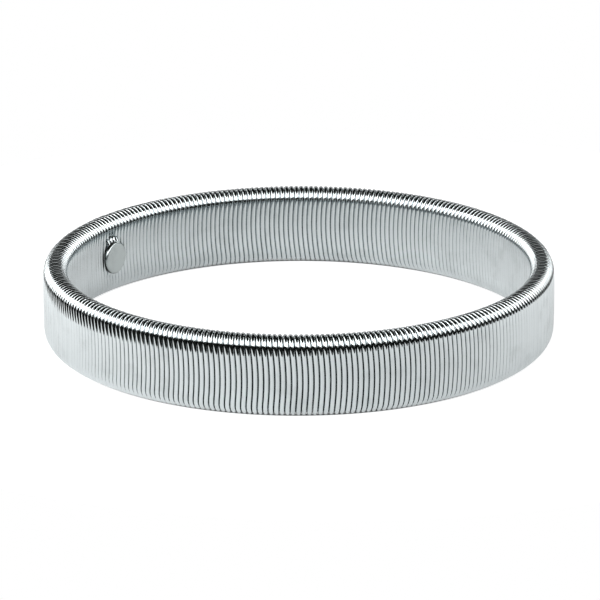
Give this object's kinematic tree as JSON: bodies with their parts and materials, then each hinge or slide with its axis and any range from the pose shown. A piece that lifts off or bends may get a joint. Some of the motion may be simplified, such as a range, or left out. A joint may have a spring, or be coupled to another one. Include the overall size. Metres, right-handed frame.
{
  "type": "metal sleeve garter",
  "caption": "Stretch arm band for a shirt sleeve: a close-wound steel wire coil, flattened and joined into a loop by a rivet with a flat round button head.",
  "frame": {"origin": "centre of the loop, on the plane that its lower rim rests on", "axes": "+Z along the loop's axis, +Y from the axis towards the rivet"},
  "size_m": [0.08, 0.0802, 0.0127],
  "materials": {
    "coil_steel": "bright drawn steel wire, nickel plated, with fine lines along each turn",
    "rivet_steel": "bright steel with a rounded edge and a smooth flat face",
    "strip_steel": "plain rolled steel strip"
  },
  "bodies": {
    "root": {"wire_coil": "coil_steel", "rivet": "rivet_steel", "joining_strip": "strip_steel"}
  },
  "joints": []
}
